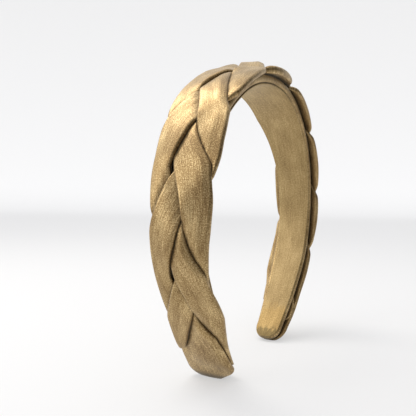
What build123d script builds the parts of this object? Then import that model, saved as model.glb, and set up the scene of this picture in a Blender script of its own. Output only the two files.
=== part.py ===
"""Braided headband: a stiff arch, its lining, and three padded strands plaited over the outer face.

Millimetres. The arch stands in the XZ plane on its two tips, +Z is up and the band's width runs along Y.
Places on the arch are given as (along, across, out): along is the arc length of the inner face from the -X tip
to the +X tip, across is the sideways distance from the middle towards -Y, and out is the height above the
inner face.
"""

import os
from math import cos, radians, sin, sqrt

from build123d import *

os.makedirs("parts", exist_ok=True)

# Arch, measured on the inner face
crown_radius = 61.5
crown_half_sweep = 115.5
leg_radius = 240.0
leg_length = 52.0

# Flat layers
lining_width = 18.0
lining_thickness = 0.8
band_width = 19.0
band_thickness = 4.0
band_edge_rounding = 1.5
tip_rounding = 8.0

# Plait
braid_width = 30.0
strand_thickness = 3.1
strand_droop = 1.2
seat_crown = 0.15
lobe = 0.06
meeting_share = 0.2
edge_softness = 0.6
crest_flatness = 3.0
drape_radius = 1.5
drape_step = 0.8
drape_reach = 0.6
end_rounding = 8.0
end_thickness_share = 0.55

# Clearances
seat_gap = 0.15
layer_gap = 0.7
edge_gap = 0.4
edge_margin = 1.2
end_cover = 3.5
rest_flat_depth = 1.5

# Fineness of the strands' facets
steps_per_crossing = 6
points_across = 10

# Places where three strand edges meet, as shares of the arch length. Even rows lie towards +Y, odd ones towards -Y.
crossings = [
    0.068, 0.118, 0.171, 0.224, 0.278, 0.332, 0.386, 0.439, 0.488, 0.531,
    0.571, 0.612, 0.654, 0.702, 0.749, 0.793, 0.837, 0.884, 0.930,
]

# Plait along the arch: share of the arch length, width as a share of braid_width
width_profile = [
    (0.00, 0.70),
    (0.06, 0.72),
    (0.15, 0.80),
    (0.25, 0.88),
    (0.34, 0.95),
    (0.50, 1.00),
    (0.66, 0.95),
    (0.75, 0.88),
    (0.85, 0.80),
    (0.94, 0.70),
    (1.00, 0.56),
]

# How far the meetings of the strands lie off the band's middle: share of the arch length, share of braid_width
meeting_drift = [
    (0.00, 0.00),
    (0.20, -0.01),
    (0.38, -0.06),
    (0.48, -0.05),
    (0.60, 0.00),
    (1.00, 0.00),
]

# Where each strand ends: start and end as shares of the arch length, with the side that the end narrows to
# (-1 towards +Y, 0 the middle, +1 towards -Y)
strand_ends = [
    {"start": 0.056, "start_side": -1, "end": 0.933, "end_side": -1},
    {"start": 0.000, "start_side": 0, "end": 1.000, "end_side": 0},
    {"start": 0.031, "start_side": 1, "end": 0.974, "end_side": -1},
]

crown_half_length = crown_radius * radians(crown_half_sweep)
arch_length = 2 * (crown_half_length + leg_length)
band_bottom = lining_thickness + seat_gap
band_top = band_bottom + band_thickness
strand_seat = band_top + seat_gap


def arch_heading(along):
    """Angle turned from the top of the arch, negative on the -X leg."""
    from_top = along - arch_length / 2
    distance = abs(from_top)
    if distance < crown_half_length:
        angle = distance / crown_radius
    else:
        angle = radians(crown_half_sweep) + (distance - crown_half_length) / leg_radius
    return angle if from_top > 0 else -angle


def arch_point(along, out):
    """X and Z of a place on the arch, with Z measured from the centre of the crown's arc."""
    angle = arch_heading(along)
    side = 1 if angle > 0 else -1
    sweep = radians(crown_half_sweep)
    if abs(angle) <= sweep:
        centre_x = 0.0
        centre_z = 0.0
        radius = crown_radius
    else:
        centre_x = -side * (leg_radius - crown_radius) * sin(sweep)
        centre_z = -(leg_radius - crown_radius) * cos(sweep)
        radius = leg_radius
    return centre_x + (radius + out) * sin(angle), centre_z + (radius + out) * cos(angle)


def interpolate(rows, place):
    """Linear reading of a table of (place, value) rows."""
    for (a, value_a), (b, value_b) in zip(rows, rows[1:]):
        if place <= b:
            return value_a + (value_b - value_a) * (place - a) / (b - a)
    return rows[-1][1]


def crossing_number(along):
    """How many crossings lie behind a place, with fractions, running on past both ends of the table."""
    places = [share * arch_length for share in crossings]
    last = len(places) - 1
    index = sum(along >= place for place in places) - 1
    index = min(max(index, 0), last - 1)
    return index + (along - places[index]) / (places[index + 1] - places[index])


def rounded_end(distance, length):
    """Share of full width at a distance from an end that is rounded over a length."""
    if distance >= length:
        return 1.0
    return sqrt(max(0.0, 1 - (1 - max(distance, 0.0) / length) ** 2))


def half_width(along):
    return braid_width / 2 * interpolate(width_profile, along / arch_length)


def edge_share(number, centre_offset):
    """Share of the half width that a strand's inner edge reaches, from -meeting_share at a turn to 1 at the side."""
    last = len(crossings) - 1
    turns = [centre for centre in range(centre_offset % 6, last + 1, 6)]
    distance = min(abs(number - centre) for centre in turns)
    rise = sqrt(1 + (distance / edge_softness) ** 2) - 1
    rise_at_one = sqrt(1 + 1 / edge_softness**2) - 1
    reach = -meeting_share + 2 * meeting_share * rise / rise_at_one
    bulge = lobe * max(0.0, min(1.0, distance - 2.2)) ** 0.5
    return min(1.0, reach) + bulge


def strand_span(strand, along):
    """Left and right edge of a strand across the plait."""
    number = crossing_number(along)
    half = half_width(along)
    drift = braid_width * interpolate(meeting_drift, along / arch_length)
    right_share = edge_share(number, 2 * strand)
    left_share = edge_share(number, 2 * strand + 3)
    right = half * right_share + drift * max(0.0, 1 - right_share**2) - edge_gap
    left = -half * left_share + drift * max(0.0, 1 - left_share**2) + edge_gap
    ends = strand_ends[strand]
    for distance, side in (
        (along - ends["start"] * arch_length, ends["start_side"]),
        (ends["end"] * arch_length - along, ends["end_side"]),
    ):
        share = max(rounded_end(distance, end_rounding), 0.2)
        anchor = (left, (left + right) / 2, right)[side + 1]
        left = anchor + (left - anchor) * share
        right = anchor + (right - anchor) * share
    return left, right


def seat_height(across):
    """Height of what carries the strands: the band's outer face, and lower beside the band."""
    beyond = (abs(across) - band_width / 2 - 0.5) / (strand_droop * 1.5)
    beyond = min(max(beyond, 0.0), 1.0)
    crown = seat_crown * (1 - (2 * across / braid_width) ** 2)
    return strand_seat + crown - strand_droop * beyond**2 * (3 - 2 * beyond)


def strand_thickness_at(strand, along):
    ends = strand_ends[strand]
    distance = min(along - ends["start"] * arch_length, ends["end"] * arch_length - along)
    share = end_thickness_share + (1 - end_thickness_share) * rounded_end(distance, end_rounding)
    return strand_thickness * share


def carries(strand, along):
    """Whether a strand lies at a place, or so close that one laid over it has to clear its end."""
    ends = strand_ends[strand]
    return ends["start"] * arch_length - end_cover <= along <= ends["end"] * arch_length + end_cover


def top_height(strand, across, along, spans, layers):
    """Height of a strand's outer face, or of its seat beside it."""
    left, right = spans[strand]
    if not left < across < right or not carries(strand, along):
        return seat_height(across)
    side_rounding = rounded_end(min(across - left, right - across), strand_thickness)
    crest = 1 - abs((2 * across - left - right) / (right - left)) ** crest_flatness
    thickness = strand_thickness_at(strand, along) * side_rounding * (0.88 + 0.12 * crest)
    return bottom_height(strand, across, along, spans, layers) + thickness


def bottom_height(strand, across, along, spans, layers):
    """Height of a strand's inner face, draped over its seat and over the next strand where they cross."""
    left, right = spans[strand]
    left_below, right_below = spans[(strand + 1) % 3]
    shared = min(right, right_below) - max(left, left_below)
    margin = min(max(shared, 0.0), edge_margin)
    heights = []
    for step in range(-4, 5):
        offset = step * drape_step
        place = across + offset
        height = seat_height(place)
        if layers and left - margin <= place <= right + margin:
            below = top_height((strand + 1) % 3, place, along, spans, layers - 1)
            height = max(height, below + layer_gap)
        heights.append(height - max(0.0, abs(offset) - drape_reach) ** 2 / (2 * drape_radius))
    return max(heights)


def strand_outline(strand, along):
    """Closed section of a strand at one place, as (across, out) points: outer face first, then back along the inner."""
    spans = [strand_span(number, along) for number in range(3)]
    left, right = spans[strand]
    places = []
    for step in range(points_across):
        share = (1 - cos(radians(180 * step / (points_across - 1)))) / 2
        places.append(left + (right - left) * share)
    outer = [(across, top_height(strand, across, along, spans, 2)) for across in places[1:-1]]
    inner = [(across, bottom_height(strand, across, along, spans, 2)) for across in places]
    return [inner[0], *outer, *reversed(inner[1:])]


def section_places():
    """Where sections stand: a few for each crossing, and close together at every strand's two ends."""
    places = []
    marks = [share * arch_length for share in crossings]
    marks = [2 * marks[0] - marks[1], *marks, 2 * marks[-1] - marks[-2]]
    for here, there in zip(marks, marks[1:]):
        places += [here + (there - here) * step / steps_per_crossing for step in range(steps_per_crossing)]
    for ends in strand_ends:
        start = ends["start"] * arch_length
        end = ends["end"] * arch_length
        near = [end_rounding * share for share in (0.0, 0.08, 0.3, 0.65, 1.0)]
        rounding = [start + distance for distance in near] + [end - distance for distance in near]
        places = [place for place in places if min(abs(place - mark) for mark in rounding) > 1.0]
        places += rounding
    return sorted(places)


def strand_places(strand):
    """The sections that one strand reaches, from its start to its end."""
    start = strand_ends[strand]["start"] * arch_length
    end = strand_ends[strand]["end"] * arch_length
    return [place for place in section_places() if start <= place <= end]


outlines = [[(along, strand_outline(strand, along)) for along in strand_places(strand)] for strand in range(3)]
lowest = min(
    arch_point(along, out)[1]
    for outline_rows in outlines
    for along, outline in outline_rows
    for across, out in outline
)
ground = lowest + rest_flat_depth


def section_plane(along):
    """Plane across the arch, with its x towards -Y and its y outwards."""
    x, z = arch_point(along, 0.0)
    angle = arch_heading(along)
    return Plane(origin=(x, 0, z - ground), x_dir=(0, -1, 0), z_dir=(-cos(angle), 0, sin(angle)))


def arch_place(along, out):
    x, z = arch_point(along, out)
    return x, z - ground


def arch_strip(inside, outside, width, edge_rounding):
    """Solid strip along the whole arch between two heights, with rounded tips."""
    bends = [0, leg_length, arch_length - leg_length, arch_length]
    with BuildPart() as strip:
        with BuildSketch(Plane.XZ):
            with BuildLine():
                for out in (inside, outside):
                    for a, b in zip(bends, bends[1:]):
                        ThreePointArc(arch_place(a, out), arch_place((a + b) / 2, out), arch_place(b, out))
                for tip in (0, arch_length):
                    Line(arch_place(tip, inside), arch_place(tip, outside))
            make_face()
        extrude(amount=width / 2, both=True)
        tips = strip.edges().filter_by(lambda edge: abs(edge.length - (outside - inside)) < 1e-4)
        fillet(tips, tip_rounding)
        if edge_rounding:
            outer_face = strip.faces().sort_by(Axis.Z)[-1]
            fillet(outer_face.edges(), edge_rounding)
    return strip.part


with BuildPart() as lining:
    add(arch_strip(0.0, lining_thickness, lining_width, 0.0))
    split(bisect_by=Plane.XY, keep=Keep.TOP)
lining.part.label = "lining"
export_step(lining.part, "parts/lining.step")

with BuildPart() as band:
    add(arch_strip(band_bottom, band_top, band_width, band_edge_rounding))
    split(bisect_by=Plane.XY, keep=Keep.TOP)
band.part.label = "band"
export_step(band.part, "parts/band.step")

for number, outline_rows in enumerate(outlines, start=1):
    with BuildPart() as strand:
        for along, outline in outline_rows:
            with BuildSketch(section_plane(along)):
                with BuildLine():
                    Polyline(*outline, close=True)
                make_face()
        loft(ruled=True)
        split(bisect_by=Plane.XY, keep=Keep.TOP)
    strand.part.label = f"strand_{number}"
    export_step(strand.part, f"parts/strand_{number}.step")
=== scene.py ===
"""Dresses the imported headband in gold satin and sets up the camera, the lights and the floor.

Sizes are in millimetres up to the point where a mesh is made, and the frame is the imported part's. A place on
the headband is (along, across, out): the arc length of the inner face from the -X tip, the distance from the
middle towards -Y, and the height above the inner face.
"""

from math import cos, pi, radians, sin

import bpy
import numpy as np
from mathutils import Matrix, Vector


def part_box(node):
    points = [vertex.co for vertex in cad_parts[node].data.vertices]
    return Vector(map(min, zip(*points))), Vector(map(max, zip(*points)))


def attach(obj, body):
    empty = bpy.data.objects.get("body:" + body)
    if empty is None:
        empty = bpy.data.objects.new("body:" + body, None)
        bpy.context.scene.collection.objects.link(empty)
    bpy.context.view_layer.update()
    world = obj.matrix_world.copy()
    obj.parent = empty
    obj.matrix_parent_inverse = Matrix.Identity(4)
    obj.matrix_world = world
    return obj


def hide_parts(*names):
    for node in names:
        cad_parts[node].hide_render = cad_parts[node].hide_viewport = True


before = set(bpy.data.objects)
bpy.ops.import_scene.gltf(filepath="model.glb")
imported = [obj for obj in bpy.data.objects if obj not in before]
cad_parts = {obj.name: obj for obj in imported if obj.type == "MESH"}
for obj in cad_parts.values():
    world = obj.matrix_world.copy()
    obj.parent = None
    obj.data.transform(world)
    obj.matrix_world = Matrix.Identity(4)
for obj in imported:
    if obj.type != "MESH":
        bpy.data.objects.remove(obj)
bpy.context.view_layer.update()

MM = 0.001

# The arch and its flat layers
CROWN_RADIUS = 61.5
CROWN_HALF_SWEEP = radians(115.5)
LEG_RADIUS = 240.0
LEG_LENGTH = 52.0
LINING_WIDTH = 18.0
LINING_THICKNESS = 0.8
LINING_ROUNDING = 0.35
LINING_START = 0.05      # height at which the lining's drawn face begins
BAND_WIDTH = 19.0
BAND_THICKNESS = 4.0
BAND_ROUNDING = 1.7
BAND_SINK = 0.1          # how far the band's cover reaches into the gap over the lining
TIP_ROUNDING = 5.5       # of the band and the lining, seen from outside
SEAT_GAP = 0.15

CROWN_HALF_LENGTH = CROWN_RADIUS * CROWN_HALF_SWEEP
ARCH_LENGTH = 2 * (CROWN_HALF_LENGTH + LEG_LENGTH)
BAND_BOTTOM = LINING_THICKNESS + SEAT_GAP
BAND_TOP = BAND_BOTTOM + BAND_THICKNESS
STRAND_SEAT = BAND_TOP + SEAT_GAP

# The plait
BRAID_WIDTH = 30.0
STRAND_THICKNESS = 3.1
STRAND_COUNT = 3
STRAND_DROOP = 1.2       # how far the strands hang down beside the band
DROOP_START = 0.5        # distance from the band's edge at which they begin to
DROOP_SPREAD = 1.5       # width of that slope for each millimetre of its height
SEAT_CROWN = 0.15        # how much higher the strands are carried in the middle
TURN_CYCLE = 6           # crossings from one turn of a strand's edge near the middle to its next
MEETING_SHARE = 0.20     # share of the half width that an edge reaches one crossing from its turn, and
                         # that a left edge reaches past the middle at its turn
EDGE_SOFTNESS = 0.7      # roundness of an edge's turn, in crossings
LOBE_REACH = 1.2         # crossings from the middle of a swelling to its foot
LOBE_DIP = 0.01          # share of the half width that an edge lacks one crossing from a swelling's middle
LOBE_BLEND = 0.05        # roundness of the corner between an edge's slant and its side
SKEW_BLEND = 1.4         # crossings over which the shift of a swelling sets in
END_ROUNDING = 8.0
END_THICKNESS_SHARE = 0.55
END_WIDTH_SHARE = 0.2

# The crossings, as shares of the arch's length from the -X tip
CROSSINGS = [
    0.068, 0.118, 0.164, 0.224, 0.276, 0.332, 0.381, 0.437, 0.488, 0.531,
    0.571, 0.612, 0.654, 0.702, 0.749, 0.793, 0.837, 0.884, 0.930,
]

# Each pair in the tables below is a share of the arch's length and the value there.
# Shares of the full width of the plait, and of the half widths of the band and the lining
WIDTH_PROFILE = [
    (0.00, 0.70), (0.06, 0.72), (0.15, 0.80), (0.22, 0.87), (0.27, 0.92), (0.34, 0.95), (0.50, 1.00),
    (0.60, 0.93), (0.75, 0.86), (0.85, 0.76), (0.94, 0.62), (1.00, 0.48),
]
BAND_RIGHT = [
    (0.00, 0.86), (0.06, 0.94), (0.12, 1.00), (0.30, 1.00), (0.40, 1.22), (0.54, 1.25),
    (0.66, 1.12), (0.75, 1.00), (0.86, 1.00), (0.93, 0.84), (0.97, 0.70), (1.00, 0.60),
]
BAND_LEFT = [
    (0.00, 0.86), (0.06, 0.94), (0.12, 1.00), (0.23, 1.00), (0.27, 1.20), (0.42, 1.35), (0.52, 1.55),
    (0.61, 1.55), (0.66, 1.30), (0.71, 1.10), (0.78, 1.00), (0.86, 1.00), (0.93, 0.92), (1.00, 0.80),
]
# Millimetres by which the lining's left edge is drawn in
LINING_INSET = [(0.00, 0.5), (0.10, 0.0), (0.78, 0.0), (0.85, 2.0), (0.95, 1.6), (0.98, 0.3), (1.00, 0.3)]
# Share of a strand's full thickness
FULLNESS = [
    (0.00, 1.00), (0.455, 1.00), (0.475, 1.35), (0.525, 1.35), (0.55, 1.00), (0.90, 1.00), (1.00, 0.75),
]
# Shares of the plait's width by which the strands' inner edges, and then all of it, lie off the middle
MEETING_DRIFT = [(0.00, 0.00), (0.20, -0.01), (0.38, -0.06), (0.48, -0.05), (0.60, 0.00), (1.00, 0.00)]
SIDE_DRIFT = [
    (0.00, 0.00), (0.19, 0.00), (0.25, 0.03), (0.29, 0.04), (0.34, 0.00), (0.46, 0.00), (0.56, 0.02),
    (0.75, 0.015), (0.88, -0.01), (0.94, -0.04), (1.00, -0.07),
]
# Shares of the half width by which the swellings at the sides stand out
RIGHT_LOBES = [
    (0.00, 0.12), (0.07, 0.18), (0.11, 0.30), (0.16, 0.08), (0.20, 0.08), (0.25, 0.20), (0.31, 0.08),
    (1.00, 0.07),
]
LEFT_LOBES = [(0.00, 0.07), (0.82, 0.07), (0.88, 0.28), (0.94, 0.10), (1.00, 0.07)]
# Millimetres by which the right swellings are shifted towards the -X tip
RIGHT_SKEW = [
    (0.00, 0.0), (0.15, 0.0), (0.22, 8.0), (0.25, 4.0), (0.30, 4.0), (0.34, 8.0), (0.55, 8.0), (0.64, 0.0),
    (1.00, 0.0),
]
# Shares of the half width by which the right edges reach past the middle at their turns
RIGHT_TURNS = [
    (0.00, 0.50), (0.068, 0.50), (0.11, 0.20), (0.163, 0.38), (0.20, 0.20), (0.25, 0.20), (0.278, 0.36),
    (0.315, 0.20), (1.00, 0.20),
]
# Where each strand starts and ends, and towards which side it narrows there: -1 left, 0 middle, 1 right
STRAND_ENDS = [
    {"start": 0.056, "start_side": -1, "end": 0.933, "end_side": -1},
    {"start": 0.000, "start_side": 0, "end": 1.000, "end_side": 0},
    {"start": 0.031, "start_side": 1, "end": 0.974, "end_side": -1},
]

# How the padding lies
STRAND_WIDTH = 17.0      # of the fabric tube, for the weave
ROLL = 1.0               # radius of the rolled edges
CROWN = 0.25             # share of the half thickness that the middle stands above the rolled edges
CROWN_FLATNESS = 2.6     # higher for a flatter middle
NESTING = 0.3            # how far two crossing strands press into each other
PRESSED = 0.55           # share of its thickness that a strand loses under the one laid over it
COVER_SPREAD = 2.0       # how softly a strand dips before it goes under the next
THINNED = 0.3            # share of its thickness that a strand loses at the edge that lies flat over the next
THIN_REACH = 3.5         # how far in from that edge it is thinner
THIN_FROM = (0.5, 1.2)   # crossings before an edge's turn between which the thinning fades out
THIN_TO = (2.2, 2.9)     # the same where it sets in
WRINKLE = 0.04           # height of the folds where a strand is squeezed
WRINKLES = 5.0           # folds side by side across a strand
# How the folds wander: size in folds, length of a radian, shift for each strand
FOLD_WANDER = [(0.35, 9.0, 2.1), (0.20, 3.7, 1.0)]

# The skin under tension that the strands are shaped by
GRID_STEP = 0.5
GRID_MARGIN = 2.0        # beyond both tips
GRID_HALF_WIDTH = 18.0
GRID_SLACK = 0.01        # so that the last column is there
GRID_MOVES = [(0, 1), (0, -1), (1, 1), (1, -1)]       # axis and direction to the four cells beside one
RELAX_ROUNDS = 600
SPREAD_ROUNDS = 8
TENSION_ALONG = 1.6      # the skin's tension along the strands, against 1 across them
PULL = 0.02              # the pull towards the band, as a share of the tension
SOFTEN = 2.6             # how far the padding evens out what lies under a strand
EDGE_SOFTEN = 0.8        # the same where it rests on an edge
EDGE_SINK = 0.1          # how far a strand's edge sinks into the one below
MIDDLE_SINK = 0.7        # how much further its middle does
SINK_SLOPE = (0.5, 4.5)  # distances from the edge between which that sets in

# The slanted end at the -X tip
TIP_SLANT = 3.0          # how far the -Y side is moved up the arch
TIP_SLANT_WIDTH = 9.0    # distance from the middle at which it is moved all the way
TIP_SLANT_REACH = 16.0   # how far up the arch the slant fades out

# How fine the meshes are
ROW_STEP = 0.6
COLUMNS = 48
EDGE_CROWDING = 0.45     # how strongly the columns crowd towards a strand's edges
CAP_ROWS = 7
STRIP_STEP = 1.0
STRIP_CORNER_POINTS = 6
STRIP_TIP_ROWS = 14
STRIP_TIP_START = 0.12   # angle of the first row on the rounded tip
STRIP_HALF_LEAST = 0.2   # half width at the first row, at least
STRIP_END_START = 0.25   # rounding of the strips' thickness at the tips: where it starts before the tip
STRIP_END_REACH = 1.4    # and its length, for each millimetre of the strip's rounding

# Satin: dark, middle and light colour, size of a woven rib, roughness, and how metallic it is
STRAND_SATIN = (((0.180, 0.106, 0.040), (0.362, 0.243, 0.104), (0.73, 0.55, 0.285)), 0.5, 0.40, 0.75)
# The band's colours are its satin painted lighter, as painted light on its side faces and underside in place
# of a fill light
BAND_SATIN_PAINTED_LIGHTER = (((0.215, 0.132, 0.046), (0.43, 0.290, 0.118), (0.76, 0.56, 0.27)), 0.6, 0.45, 0.6)
LINING_SATIN = (((0.27, 0.180, 0.068), (0.385, 0.267, 0.110), (0.53, 0.385, 0.18)), 0.8, 0.5, 0.45)
SHEEN_WEIGHT = 0.35
SHEEN_ROUGHNESS = 0.35
SHEEN_TINT = (1.0, 0.88, 0.66)
STREAK_SHAPE = (1.2, 12)       # width and length of a streak, in ribs
CLOUD_SHAPE = (9.0, 14.0)      # the same for the drift of colour, in millimetres
RIB_SHADE = 1.1                # how much ribs, streaks and clouds add to the shade
STREAK_SHADE = 0.6
CLOUD_SHADE = 0.7
SHADE_START = -0.7
COLOUR_STOPS = (0.2, 0.5, 0.85)    # shades that get the dark, the middle and the light colour
# Painted shade: the satin's colour is darkened in creases and gaps between strands, where shade falls
CREASE_REACH = 4.0
CREASE_RANGE = (0.25, 0.85)    # openness of a place, from a crease to a free face
CREASE_DARKEST = 0.25
WEAVE_BUMP = 0.6
WEAVE_HEIGHT = 0.08
STREAK_BUMP = 0.8              # height of a streak, against 1 for a rib

# Where the lining is glued down it is stained, and its last millimetres get painted shade where the end faces
# down: least distance of each one's edge from the +X tip, the edge's width, tint
STAIN_AND_END_SHADE = [(15.0, 5.0, (1.10, 1.04, 0.88)), (0.0, 2.5, (0.52, 0.54, 0.52))]
STAIN_AND_SHADE_BLOTS = 0.3              # blots in a millimetre
STAIN_AND_SHADE_RAGGED = 12.0            # how far the edge wanders beyond that

# Lights and floor, in metres
BRIGHT_SIDE = (-0.15, 0.5, 0.85)
DIM_STRENGTH = 0.04
BRIGHT_STRENGTH = 1.5
BRIGHT_RANGE = (-0.1, 0.9)
ROOM_COLOUR = (0.97, 0.97, 1.0)
LIGHTS = [
    {
        "name": "key", "spot": (-0.02, 0.30, 0.56), "target": (-0.04, 0, 0.12),
        "size": (0.22, 0.45), "watts": 1.7, "colour": (1.0, 0.96, 0.89),
    },
    {
        "name": "side", "spot": (-0.38, 0.28, 0.18), "target": (-0.06, 0, 0.09),
        "size": (0.15, 0.30), "watts": 0.28, "colour": (1.0, 0.97, 0.92),
    },
]
FLOOR_HALF_WIDTH = 4.0
FLOOR_FRONT = -3.0
FLOOR_BACK = 1.2
FLOOR_BEND = 1.6         # radius of the bend from the floor up into the wall
FLOOR_STEPS = 24
WALL_HEIGHT = 5.0
FLOOR_GREY = 0.36
FRONT_GLOW = 0.08
GLOWS = [(-0.21, -0.08, 0.475), (0.15, 0.7, 0.445), (0.9, 1.7, 0.63)]    # from, to, and the glow beyond

# The camera, fitted to the photo
AZIMUTH = -60.8
ELEVATION = 2.8
ROLL_ANGLE = 0.9
DISTANCE = 274.0
AIM_RIGHT = -21.0
AIM_UP = 9.0
AIM_DROP = 7.6           # below the centre of the crown's arc
FOCAL_PIXELS = 545.0
PICTURE_PIXELS = 416
SENSOR_WIDTH = 36


# The arch

def arch_heading(along):
    """Angle turned from the top of the arch, negative on the -X leg."""
    from_top = along - ARCH_LENGTH / 2
    distance = np.abs(from_top)
    angle = np.where(
        distance < CROWN_HALF_LENGTH,
        distance / CROWN_RADIUS,
        CROWN_HALF_SWEEP + (distance - CROWN_HALF_LENGTH) / LEG_RADIUS,
    )
    return np.sign(from_top) * angle


def arch_point(along, out):
    """X and Z of a place, with Z measured from the centre of the crown's arc."""
    angle = arch_heading(along)
    leg = np.abs(angle) > CROWN_HALF_SWEEP
    shift = LEG_RADIUS - CROWN_RADIUS
    centre_x = np.where(leg, -np.sign(angle) * shift * sin(CROWN_HALF_SWEEP), 0.0)
    centre_z = np.where(leg, -shift * cos(CROWN_HALF_SWEEP), 0.0)
    radius = np.where(leg, LEG_RADIUS, CROWN_RADIUS)
    return centre_x + (radius + out) * np.sin(angle), centre_z + (radius + out) * np.cos(angle)


CENTRE_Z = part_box("lining")[1].z / MM - CROWN_RADIUS - LINING_THICKNESS


def place(along, across, out):
    """Points in metres, from arrays of places."""
    x, z = arch_point(along, out)
    return np.stack([x, -across, z + CENTRE_Z], axis=-1) * MM


# The plait's plan

def smooth_step(value, low, high):
    share = np.clip((value - low) / (high - low), 0, 1)
    return share * share * (3 - 2 * share)


def crossing_number(along):
    """How many crossings lie behind a place, with fractions, running on past both ends of the table."""
    marks = np.array(CROSSINGS) * ARCH_LENGTH
    index = np.clip(np.searchsorted(marks, along, side="right") - 1, 0, len(marks) - 2)
    return index + (along - marks[index]) / (marks[index + 1] - marks[index])


def along_profile(profile, along):
    shares, values = zip(*profile)
    return np.interp(along / ARCH_LENGTH, shares, values)


def rounded_end(distance, length):
    """Share of the full size at a distance from an end that is rounded over a length."""
    return np.sqrt(np.clip(1 - (1 - np.clip(distance / length, 0, 1)) ** 2, 0, 1))


def crossings_to_turn(number, turns):
    return np.min(np.abs(number[..., None] - turns), axis=-1)


def edge_share(along, first_turn, lobe, skew, depth):
    """Share of the half width that an edge reaches: a soft turn near the middle, then a swelling at the side.

    skew moves the swelling down the arch by that many millimetres, and leaves the turn where it is. depth is
    how far the turn reaches past the middle.
    """
    turns = np.arange(first_turn % TURN_CYCLE, len(CROSSINGS), TURN_CYCLE)
    distance = crossings_to_turn(crossing_number(along), turns)
    moved = along + skew * np.clip((distance - 1) / SKEW_BLEND, 0, 1)
    distance = crossings_to_turn(crossing_number(moved), turns)
    rise = np.sqrt(1 + (distance / EDGE_SOFTNESS) ** 2) - 1
    rise_at_one = np.sqrt(1 + 1 / EDGE_SOFTNESS**2) - 1
    reach = -depth + (depth + MEETING_SHARE) * rise / rise_at_one
    side = 1 + lobe - (lobe + LOBE_DIP) * np.clip(TURN_CYCLE / 2 - distance, 0, LOBE_REACH) ** 2
    return (reach + side - np.sqrt((reach - side) ** 2 + LOBE_BLEND**2)) / 2


def side_drift(along):
    """How far the headband leans off its middle plane, towards -Y."""
    return BRAID_WIDTH * along_profile(SIDE_DRIFT, along)


def strip_edges(along, width):
    """The two edges of a flat strip, which widens towards the crown and narrows at the tips."""
    left = -width / 2 * along_profile(BAND_LEFT, along) + side_drift(along)
    right = width / 2 * along_profile(BAND_RIGHT, along) + side_drift(along)
    return left, right


def band_edges(along):
    return strip_edges(along, BAND_WIDTH)


def lining_edges(along):
    left, right = strip_edges(along, LINING_WIDTH)
    return left + along_profile(LINING_INSET, along), right


def strand_span(strand, along):
    """Left and right edge of a strand across the plait."""
    half = BRAID_WIDTH / 2 * along_profile(WIDTH_PROFILE, along)
    drift = BRAID_WIDTH * along_profile(MEETING_DRIFT, along)
    right_lobe, left_lobe = along_profile(RIGHT_LOBES, along), along_profile(LEFT_LOBES, along)
    skew, depth = along_profile(RIGHT_SKEW, along), along_profile(RIGHT_TURNS, along)
    right_share = edge_share(along, 2 * strand, right_lobe, skew, depth)
    left_share = edge_share(along, 2 * strand + TURN_CYCLE // 2, left_lobe, 0.0, MEETING_SHARE)
    right = half * right_share + drift * np.maximum(0, 1 - right_share**2)
    left = -half * left_share + drift * np.maximum(0, 1 - left_share**2)
    ends = STRAND_ENDS[strand]
    for distance, side in (
        (along - ends["start"] * ARCH_LENGTH, ends["start_side"]),
        (ends["end"] * ARCH_LENGTH - along, ends["end_side"]),
    ):
        share = np.maximum(rounded_end(distance, END_ROUNDING), END_WIDTH_SHARE)
        anchor = (left, (left + right) / 2, right)[side + 1]
        left = anchor + (left - anchor) * share
        right = anchor + (right - anchor) * share
    return left + side_drift(along), right + side_drift(along)


def reaches(strand, along):
    """Whether a strand runs past a place."""
    ends = STRAND_ENDS[strand]
    return (ends["start"] * ARCH_LENGTH <= along) & (along <= ends["end"] * ARCH_LENGTH)


# The plait's heights

def seat_height(along, across):
    """Height of what carries the strands: the band's outer face, and lower beside the band."""
    left, right = band_edges(along)
    outside = np.maximum(left - across, across - right)
    beyond = smooth_step(outside, DROOP_START, DROOP_START + STRAND_DROOP * DROOP_SPREAD)
    crown = SEAT_CROWN * (1 - (2 * across / BRAID_WIDTH) ** 2)
    return STRAND_SEAT + crown - STRAND_DROOP * beyond


def strand_fullness(strand, along):
    """Share of the full thickness, which falls towards both ends of a strand."""
    ends = STRAND_ENDS[strand]
    distance = np.minimum(along - ends["start"] * ARCH_LENGTH, ends["end"] * ARCH_LENGTH - along)
    return END_THICKNESS_SHARE + (1 - END_THICKNESS_SHARE) * rounded_end(distance, END_ROUNDING)


def strand_thickness(strand, along, across, cover):
    """Thickness of a strand, pressed flatter where the one above covers it and thinned at its flat edge."""
    fullness = strand_fullness(strand, along) * along_profile(FULLNESS, along)
    turns = np.arange(2 * strand % TURN_CYCLE, len(CROSSINGS) + TURN_CYCLE, TURN_CYCLE)
    to_next = turns - crossing_number(along)[..., None]
    to_next = np.min(np.where(to_next < 0, np.inf, to_next), axis=-1)
    flat = smooth_step(to_next, *THIN_FROM) * (1 - smooth_step(to_next, *THIN_TO))
    _, right = strand_span(strand, along)
    near_edge = 1 - smooth_step(right - across, 0, THIN_REACH)
    return STRAND_THICKNESS * fullness * (1 - PRESSED * cover) * (1 - THINNED * flat * near_edge)


def crown_share(across, left, right):
    """Height of a strand's outer face over its rolled edges, as a share of the highest."""
    middle = 1 - np.abs((2 * across - left - right) / (right - left)) ** CROWN_FLATNESS
    return 1 - CROWN + CROWN * np.clip(middle, 0, 1)


def neighbours(grid, axis, step):
    """The grid moved by one cell, with its border repeated."""
    moved = np.roll(grid, step, axis=axis)
    edge = [slice(None), slice(None)]
    edge[axis] = 0 if step > 0 else -1
    moved[tuple(edge)] = grid[tuple(edge)]
    return moved


def spread(values, known, rounds):
    """Fills the cells round the known ones with the mean of their known neighbours, a cell a round."""
    for _ in range(rounds):
        weight = sum(neighbours(known, *move).astype(float) for move in GRID_MOVES)
        total = sum(neighbours(values * known, *move) for move in GRID_MOVES)
        fresh = ~known & (weight > 0)
        values = np.where(fresh, total / np.maximum(weight, 1), values)
        known = known | fresh
    return values


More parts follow.
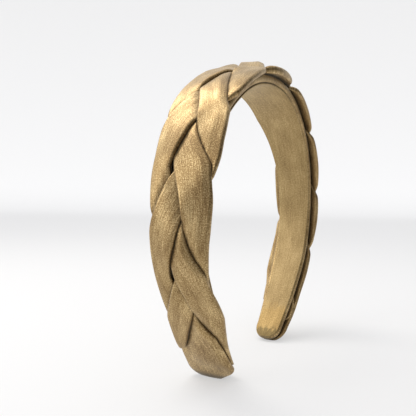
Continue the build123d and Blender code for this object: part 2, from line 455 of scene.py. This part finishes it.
def softened(field, reach):
    """The same grid, smoothed along its rows and columns over a distance."""
    sigma = reach / GRID_STEP
    cells = int(3 * sigma) + 1
    weights = np.exp(-0.5 * (np.arange(-cells, cells + 1) / sigma) ** 2)
    weights /= weights.sum()
    for axis in (0, 1):
        padding = [(0, 0), (0, 0)]
        padding[axis] = (cells, cells)
        padded = np.pad(field, padding, mode="edge")
        field = np.apply_along_axis(lambda line: np.convolve(line, weights, mode="valid"), axis, padded)
    return field


def grid_lines():
    """Rows along the arch and columns across it."""
    along = np.arange(-GRID_MARGIN, ARCH_LENGTH + GRID_MARGIN, GRID_STEP)[:, None]
    across = np.arange(-GRID_HALF_WIDTH, GRID_HALF_WIDTH + GRID_SLACK, GRID_STEP)[None, :]
    return along, across


def settled(heights, lift, inside, seat):
    """The heights after the skins have been pulled down, round by round, on to what carries them."""
    links = []
    for here in inside:
        weights = [neighbours(here, *move) * (TENSION_ALONG if move[0] == 0 else 1.0) for move in GRID_MOVES]
        links.append((weights, np.maximum(sum(weights), 1e-6)))
    for _ in range(RELAX_ROUNDS):
        for strand, (weights, total) in enumerate(links):
            below = (strand + 1) % STRAND_COUNT
            height = heights[strand]
            mean = sum(w * neighbours(height, *move) for w, move in zip(weights, GRID_MOVES)) / total
            carrier = np.where(inside[below], np.maximum(seat, heights[below] + lift[below]), seat)
            lowered = np.maximum(mean - PULL * GRID_STEP**2, carrier)
            heights[strand] = np.where(inside[strand], lowered, height)
    return heights


def relaxed_plait():
    """Height of each strand's inner face on a grid, and how far each is covered by the one above it."""
    along, across = grid_lines()
    seat = seat_height(along, across)
    strands = range(STRAND_COUNT)
    spans = [strand_span(strand, along) for strand in strands]
    inside = [
        (left < across) & (across < right) & reaches(strand, along)
        for strand, (left, right) in enumerate(spans)
    ]
    covers = [softened(inside[strand - 1].astype(float), COVER_SPREAD) for strand in strands]
    lift = []
    for strand, (left, right) in enumerate(spans):
        full = strand_thickness(strand, along, across, covers[strand])
        roll = rounded_end(np.minimum(across - left, right - across), ROLL)
        lift.append(full / 2 * (1 + roll * crown_share(across, left, right)) - NESTING)
    heights = settled([seat.copy() for _ in strands], lift, inside, seat)
    relaxed = []
    for strand, (left, right) in enumerate(spans):
        below = (strand + 1) % STRAND_COUNT
        inner = smooth_step(np.minimum(across - left, right - across), *SINK_SLOPE)
        sunk = heights[below] + lift[below] - EDGE_SINK - MIDDLE_SINK * inner
        carrier = np.where(inside[below], sunk, seat)
        smooth = softened(spread(heights[strand], inside[strand], SPREAD_ROUNDS), SOFTEN)
        smooth = np.where(inside[strand], np.maximum(smooth, carrier), smooth)
        relaxed.append(softened(smooth, EDGE_SOFTEN))
    return along[:, 0], across[0], relaxed, covers


def sampled(grid, along, across):
    """Bilinear reading of a relaxed grid."""
    rows, columns, values = grid
    row = np.clip((along - rows[0]) / GRID_STEP, 0, len(rows) - 1.001)
    column = np.clip((across - columns[0]) / GRID_STEP, 0, len(columns) - 1.001)
    row, column = np.broadcast_arrays(row, column)
    i, j = row.astype(int), column.astype(int)
    a, b = row - i, column - j
    near = values[i, j] * (1 - b) + values[i, j + 1] * b
    far = values[i + 1, j] * (1 - b) + values[i + 1, j + 1] * b
    return near * (1 - a) + far * a


# Meshes

def squeeze_folds(strand, along, shares, cover):
    """Soft folds along a strand where its skin is drawn together, just before it goes under the next."""
    squeezed = 4 * cover * (1 - cover)
    wander = sum(size * np.sin(along / length + shift * strand) for size, length, shift in FOLD_WANDER)
    return WRINKLE * squeezed * np.sin(2 * pi * (WRINKLES * shares + wander))


def strand_rows(start, end):
    """Places along a strand of the rings of its tube, closer together on its rounded ends."""
    rows = int((end - start) / ROW_STEP)
    cap = ROLL * (1 - np.cos(np.linspace(0, pi / 2, CAP_ROWS)))[:-1]
    middle = np.linspace(start + ROLL, end - ROLL, rows)
    return np.concatenate([start + cap, middle, end - cap[::-1]])[:, None]


def strand_mesh(strand, grid, cover_grid):
    """Closed tube of one strand: rings of points round its section, from its start to its end."""
    start = STRAND_ENDS[strand]["start"] * ARCH_LENGTH
    end = STRAND_ENDS[strand]["end"] * ARCH_LENGTH
    along = strand_rows(start, end)
    crowded = (1 - np.cos(np.linspace(0, pi, COLUMNS))) / 2
    shares = EDGE_CROWDING * crowded + (1 - EDGE_CROWDING) * np.linspace(0, 1, COLUMNS)
    left, right = strand_span(strand, along)
    across = left + (right - left) * shares
    seat = sampled(grid, along, across)
    cover = sampled(cover_grid, along, across)
    full = strand_thickness(strand, along, across, cover)
    from_side = np.minimum(across - left, right - across)
    from_end = np.minimum(along - start, end - along)
    roll = rounded_end(from_side, ROLL) * rounded_end(from_end, ROLL)
    outer = seat + full / 2 * (1 + roll * crown_share(across, left, right))
    outer = outer + roll * squeeze_folds(strand, along, shares, cover)
    inner = seat + full / 2 * (1 - roll)
    under = slice(COLUMNS - 2, 0, -2)
    ring_across = np.concatenate([across, across[:, under]], axis=1)
    ring_out = np.concatenate([outer, inner[:, under]], axis=1)
    fabric = np.concatenate([shares, shares[under]]) * STRAND_WIDTH
    return along, ring_across, ring_out, fabric


def strip_section(rounding):
    """Side, level and rounding of each point round a strip's section."""
    corner = [(cos(a), sin(a)) for a in np.linspace(0, pi / 2, STRIP_CORNER_POINTS)]
    quarters = [(1, 1, corner), (-1, 1, corner[::-1]), (-1, -1, corner), (1, -1, corner[::-1])]
    section = [(side, level, c, s) for side, level, points in quarters for c, s in points]
    side, level, cosine, sine = np.array(section).T
    return side, level, rounding * (1 - cosine), rounding - rounding * sine


def strip_mesh(edges_at, bottom, top, rounding):
    """Rings of a flat strip along the arch, with rounded sides and tips that are rounded in plan."""
    side, level, side_inset, level_inset = strip_section(rounding)
    near = TIP_ROUNDING * (1 - np.cos(np.linspace(STRIP_TIP_START, pi / 2, STRIP_TIP_ROWS)))
    middle = np.arange(TIP_ROUNDING, ARCH_LENGTH - TIP_ROUNDING, STRIP_STEP)
    along = np.concatenate([near[:-1], middle, ARCH_LENGTH - near[::-1]])[:, None]
    from_end = np.minimum(along, ARCH_LENGTH - along)
    left, right = edges_at(along)
    edge = np.where(side > 0, right, left)
    middle_line = (left + right) / 2
    tip_inset = TIP_ROUNDING * (1 - rounded_end(from_end, TIP_ROUNDING))
    across = edge - side * (side_inset + tip_inset)
    too_narrow = side * (across - middle_line) < STRIP_HALF_LEAST
    across = np.where(too_narrow, middle_line + STRIP_HALF_LEAST * side, across)
    round_end = rounded_end(from_end + STRIP_END_START, rounding * STRIP_END_REACH)
    out = (top + bottom) / 2 + round_end * level * ((top - bottom) / 2 - level_inset)
    return along, across, out, across[len(across) // 2]


def slanted_tip(along, across):
    """Places moved up the arch near the -X tip, more towards -Y, where the end is cut at a slant."""
    sideways = smooth_step(across, 0, TIP_SLANT_WIDTH)
    return along + TIP_SLANT * sideways * (1 - smooth_step(along, 0, TIP_SLANT_REACH))


def tube_object(name, along, across, out, fabric):
    """Mesh object from rows of closed rings, with end caps and a UV map in millimetres of fabric."""
    rows, ring = across.shape
    points = place(slanted_tip(along, across), across, out)
    points[..., 2] = np.maximum(points[..., 2], 0)
    index = np.arange(rows * ring).reshape(rows, ring)
    onward = np.roll(index, -1, axis=1)
    quads = np.stack([index[:-1], index[1:], onward[1:], onward[:-1]], axis=-1).reshape(-1, 4)
    faces = quads.tolist() + [index[0].tolist(), index[-1][::-1].tolist()]
    mesh = bpy.data.meshes.new(name)
    mesh.from_pydata(points.reshape(-1, 3).tolist(), [], faces)
    uv = mesh.uv_layers.new(name="fabric")
    flat = np.stack(np.broadcast_arrays(fabric[None, :], along), axis=-1).reshape(-1, 2)
    corners = np.empty(len(mesh.loops), dtype=np.int32)
    mesh.loops.foreach_get("vertex_index", corners)
    uv.data.foreach_set("uv", flat[corners].astype(np.float32).ravel())
    mesh.polygons.foreach_set("use_smooth", [True] * len(mesh.polygons))
    mesh.update()
    piece = bpy.data.objects.new(name, mesh)
    bpy.context.scene.collection.objects.link(piece)
    return piece


# Materials

def put(tree, socket, value):
    """Sets a socket to a number, or links another node's output to it."""
    if isinstance(value, float):
        socket.default_value = value
    else:
        tree.links.new(value, socket)


def weighted(tree, value, weight, addend):
    """A value times its weight, plus a number or another value."""
    step = tree.nodes.new("ShaderNodeMath")
    step.operation = "MULTIPLY_ADD"
    step.inputs[1].default_value = weight
    put(tree, step.inputs[0], value)
    put(tree, step.inputs[2], addend)
    return step.outputs["Value"]


def remapped(tree, value, source, low, high, kind="LINEAR"):
    """A value carried from its source range to the range from low to high, and held at both ends."""
    step = tree.nodes.new("ShaderNodeMapRange")
    step.interpolation_type = kind
    step.inputs["From Min"].default_value = source[0]
    step.inputs["From Max"].default_value = source[1]
    put(tree, step.inputs["To Min"], low)
    step.inputs["To Max"].default_value = high
    put(tree, step.inputs["Value"], value)
    return step.outputs["Result"]


def fabric_map(tree):
    fabric = tree.nodes.new("ShaderNodeUVMap")
    fabric.uv_map = "fabric"
    return fabric.outputs["UV"]


def noise(tree, fabric, across_size, along_size, detail):
    """Noise whose grains have a size across the fabric and another along it."""
    stretch = tree.nodes.new("ShaderNodeMapping")
    stretch.inputs["Scale"].default_value = (1 / across_size, 1 / along_size, 1)
    tree.links.new(fabric, stretch.inputs["Vector"])
    texture = tree.nodes.new("ShaderNodeTexNoise")
    texture.inputs["Scale"].default_value = 1.0
    texture.inputs["Detail"].default_value = detail
    tree.links.new(stretch.outputs["Vector"], texture.inputs["Vector"])
    return texture.outputs["Fac"]


def shaded_colour(tree, shade, colours):
    """The dark, the middle or the light colour, by the shade, with everything between."""
    ramp = tree.nodes.new("ShaderNodeValToRGB")
    dark, middle, light = zip(COLOUR_STOPS, colours)
    stops = ramp.color_ramp.elements
    stops[0].position, stops[0].color = dark[0], (*dark[1], 1)
    stops[1].position, stops[1].color = light[0], (*light[1], 1)
    stops.new(middle[0]).color = (*middle[1], 1)
    tree.links.new(shade, ramp.inputs["Fac"])
    return ramp.outputs["Color"]


# Painted shade: darkens the colour where ambient occlusion finds a crease or gap, in place of the shade that
# falls there
def painted_crease_shade(tree, colour):
    crease = tree.nodes.new("ShaderNodeAmbientOcclusion")
    crease.samples = 8
    crease.inputs["Distance"].default_value = CREASE_REACH * MM
    depth = remapped(tree, crease.outputs["AO"], CREASE_RANGE, CREASE_DARKEST, 1.0)
    darker = tree.nodes.new("ShaderNodeVectorMath")
    darker.operation = "SCALE"
    tree.links.new(colour, darker.inputs[0])
    tree.links.new(depth, darker.inputs["Scale"])
    return darker.outputs["Vector"]


def weave_relief(tree, height):
    bump = tree.nodes.new("ShaderNodeBump")
    bump.inputs["Strength"].default_value = WEAVE_BUMP
    bump.inputs["Distance"].default_value = WEAVE_HEIGHT * MM
    tree.links.new(height, bump.inputs["Height"])
    return bump.outputs["Normal"]


def satin(name, colours, weave, roughness, metal):
    """Gold satin: a fine weave that sparkles, short streaks along the fabric, colour that drifts, and painted
    shade in its creases.
    """
    material = bpy.data.materials.new(name)
    material.use_nodes = True
    tree = material.node_tree
    shader = tree.nodes["Principled BSDF"]
    shader.inputs["Roughness"].default_value = roughness
    shader.inputs["Metallic"].default_value = metal
    shader.inputs["Sheen Weight"].default_value = SHEEN_WEIGHT
    shader.inputs["Sheen Roughness"].default_value = SHEEN_ROUGHNESS
    shader.inputs["Sheen Tint"].default_value = (*SHEEN_TINT, 1)
    fabric = fabric_map(tree)
    ribs = noise(tree, fabric, weave, weave, 1.0)
    streaks = noise(tree, fabric, weave * STREAK_SHAPE[0], weave * STREAK_SHAPE[1], 2.0)
    clouds = noise(tree, fabric, *CLOUD_SHAPE, 2.0)
    shade = weighted(tree, clouds, CLOUD_SHADE, SHADE_START)
    shade = weighted(tree, streaks, STREAK_SHADE, shade)
    shade = weighted(tree, ribs, RIB_SHADE, shade)
    colour = painted_crease_shade(tree, shaded_colour(tree, shade, colours))
    tree.links.new(colour, shader.inputs["Base Color"])
    height = weighted(tree, ribs, 1.0, weighted(tree, streaks, STREAK_BUMP, 0.0))
    tree.links.new(weave_relief(tree, height), shader.inputs["Normal"])
    return material


def glue_stain_and_end_shade(material):
    """Warmer patch with a ragged edge where the lining is glued down at the +X tip, and darker at its end,
    which is painted shade where the end faces down.
    """
    tree = material.node_tree
    base_colour = tree.nodes["Principled BSDF"].inputs["Base Color"]
    fabric = fabric_map(tree)
    apart = tree.nodes.new("ShaderNodeSeparateXYZ")
    tree.links.new(fabric, apart.inputs["Vector"])
    blots = tree.nodes.new("ShaderNodeTexNoise")
    blots.inputs["Scale"].default_value = STAIN_AND_SHADE_BLOTS
    blots.inputs["Detail"].default_value = 3.0
    tree.links.new(fabric, blots.inputs["Vector"])
    ragged = weighted(tree, blots.outputs["Fac"], STAIN_AND_SHADE_RAGGED, apart.outputs["Y"])
    # The first entry tints the glued patch, the second paints shade on the lining's end
    for from_end, width, tint in STAIN_AND_END_SHADE:
        start = ARCH_LENGTH - from_end
        amount = remapped(tree, ragged, (start, start + width), 0.0, 1.0)
        stain_and_shade = tree.nodes.new("ShaderNodeMix")
        stain_and_shade.data_type = "RGBA"
        stain_and_shade.blend_type = "MULTIPLY"
        tree.links.new(amount, stain_and_shade.inputs["Factor"])
        tree.links.new(base_colour.links[0].from_socket, stain_and_shade.inputs["A"])
        stain_and_shade.inputs["B"].default_value = (*tint, 1)
        tree.links.new(stain_and_shade.outputs["Result"], base_colour)


# The pieces

def dress_strands():
    fabric = satin("strand_satin", *STRAND_SATIN)
    rows, columns, heights, covers = relaxed_plait()
    for strand in range(STRAND_COUNT):
        grid = (rows, columns, heights[strand])
        cover_grid = (rows, columns, covers[strand])
        piece = tube_object(f"satin_strand_{strand + 1}", *strand_mesh(strand, grid, cover_grid))
        piece.data.materials.append(fabric)
        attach(piece, "root")
        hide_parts(f"strand_{strand + 1}")


def dress_band():
    rings = strip_mesh(band_edges, BAND_BOTTOM - BAND_SINK, BAND_TOP, BAND_ROUNDING)
    piece = tube_object("satin_band_cover", *rings)
    # Satin painted lighter: painted light on the band's sides and underside
    piece.data.materials.append(satin("band_satin", *BAND_SATIN_PAINTED_LIGHTER))
    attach(piece, "root")
    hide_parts("band")


def dress_lining():
    rings = strip_mesh(lining_edges, LINING_START, LINING_THICKNESS, LINING_ROUNDING)
    piece = tube_object("satin_lining", *rings)
    fabric = satin("lining_satin", *LINING_SATIN)
    glue_stain_and_end_shade(fabric)
    piece.data.materials.append(fabric)
    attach(piece, "root")
    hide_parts("lining")


# Floor, light and camera

def area_light(name, spot, target, size, watts, colour):
    data = bpy.data.lights.new(name, "AREA")
    data.shape = "RECTANGLE"
    data.size, data.size_y = size
    data.energy = watts
    data.color = colour
    lamp = bpy.data.objects.new(name, data)
    lamp.location = spot
    lamp.rotation_euler = (Vector(target) - Vector(spot)).to_track_quat("-Z", "Y").to_euler()
    bpy.context.scene.collection.objects.link(lamp)


def floor_mesh(forward, side):
    """Flat floor that curves up into a wall behind the object."""
    turns = np.linspace(0, pi / 2, FLOOR_STEPS)[1:]
    profile = [(FLOOR_FRONT, 0.0), (FLOOR_BACK, 0.0)]
    profile += [(FLOOR_BACK + FLOOR_BEND * sin(a), FLOOR_BEND - FLOOR_BEND * cos(a)) for a in turns]
    profile += [(FLOOR_BACK + FLOOR_BEND, WALL_HEIGHT)]
    points = [
        forward * far + side * reach + Vector((0, 0, z))
        for far, z in profile for reach in (-FLOOR_HALF_WIDTH, FLOOR_HALF_WIDTH)
    ]
    faces = [(2 * i, 2 * i + 1, 2 * i + 3, 2 * i + 2) for i in range(len(profile) - 1)]
    mesh = bpy.data.meshes.new("floor")
    mesh.from_pydata(points, [], faces)
    mesh.polygons.foreach_set("use_smooth", [True] * len(mesh.polygons))
    return mesh


def floor_material(forward):
    """Matt grey with a glow that changes with the distance behind the object."""
    material = bpy.data.materials.new("floor")
    material.use_nodes = True
    tree = material.node_tree
    shader = tree.nodes["Principled BSDF"]
    shader.inputs["Base Color"].default_value = (FLOOR_GREY, FLOOR_GREY, FLOOR_GREY, 1)
    shader.inputs["Emission Color"].default_value = (1, 1, 1, 1)
    shader.inputs["Roughness"].default_value = 0.9
    shader.inputs["Specular IOR Level"].default_value = 0.1
    spot = tree.nodes.new("ShaderNodeNewGeometry")
    depth = tree.nodes.new("ShaderNodeVectorMath")
    depth.operation = "DOT_PRODUCT"
    depth.inputs[1].default_value = forward
    tree.links.new(spot.outputs["Position"], depth.inputs[0])
    glow = FRONT_GLOW
    for near, far, strength in GLOWS:
        glow = remapped(tree, depth.outputs["Value"], (near, far), glow, strength, "SMOOTHSTEP")
    tree.links.new(glow, shader.inputs["Emission Strength"])
    return material


def sweep():
    """Pale floor and wall, square to the camera."""
    turn = radians(AZIMUTH)
    forward = Vector((-sin(turn), cos(turn), 0))
    side = Vector((cos(turn), sin(turn), 0))
    mesh = floor_mesh(forward, side)
    mesh.materials.append(floor_material(forward))
    piece = bpy.data.objects.new("floor", mesh)
    bpy.context.scene.collection.objects.link(piece)


def studio_light():
    """Room light that is bright from above and the camera's left, and dim from behind the camera."""
    world = bpy.data.worlds.new("studio")
    world.use_nodes = True
    tree = world.node_tree
    direction = tree.nodes.new("ShaderNodeTexCoord")
    toward = tree.nodes.new("ShaderNodeVectorMath")
    toward.operation = "DOT_PRODUCT"
    toward.inputs[1].default_value = Vector(BRIGHT_SIDE).normalized()
    tree.links.new(direction.outputs["Generated"], toward.inputs[0])
    strength = remapped(
        tree, toward.outputs["Value"], BRIGHT_RANGE, DIM_STRENGTH, BRIGHT_STRENGTH, "SMOOTHSTEP",
    )
    background = tree.nodes["Background"]
    background.inputs["Color"].default_value = (*ROOM_COLOUR, 1)
    tree.links.new(strength, background.inputs["Strength"])
    bpy.context.scene.world = world
    bpy.context.scene.view_settings.view_transform = "Standard"


def camera():
    azimuth, elevation, roll = radians(AZIMUTH), radians(ELEVATION), radians(ROLL_ANGLE)
    back = Vector((sin(azimuth) * cos(elevation), -cos(azimuth) * cos(elevation), sin(elevation)))
    right = Vector((cos(azimuth), sin(azimuth), 0))
    up = back.cross(right)
    target = Vector((0, 0, CENTRE_Z - AIM_DROP)) + right * AIM_RIGHT + up * AIM_UP
    spot = (target + back * DISTANCE) * MM
    turned_right = right * cos(roll) + up * sin(roll)
    turned_up = up * cos(roll) - right * sin(roll)
    data = bpy.data.cameras.new("camera")
    data.sensor_width = SENSOR_WIDTH
    data.lens = FOCAL_PIXELS * SENSOR_WIDTH / PICTURE_PIXELS
    data.clip_start = 0.01
    eye = bpy.data.objects.new("camera", data)
    turn = Matrix((turned_right, turned_up, back)).transposed().to_4x4()
    eye.matrix_world = Matrix.Translation(spot) @ turn
    bpy.context.scene.collection.objects.link(eye)
    bpy.context.scene.camera = eye


dress_strands()
dress_band()
dress_lining()
studio_light()
for light in LIGHTS:
    area_light(**light)
sweep()
camera()
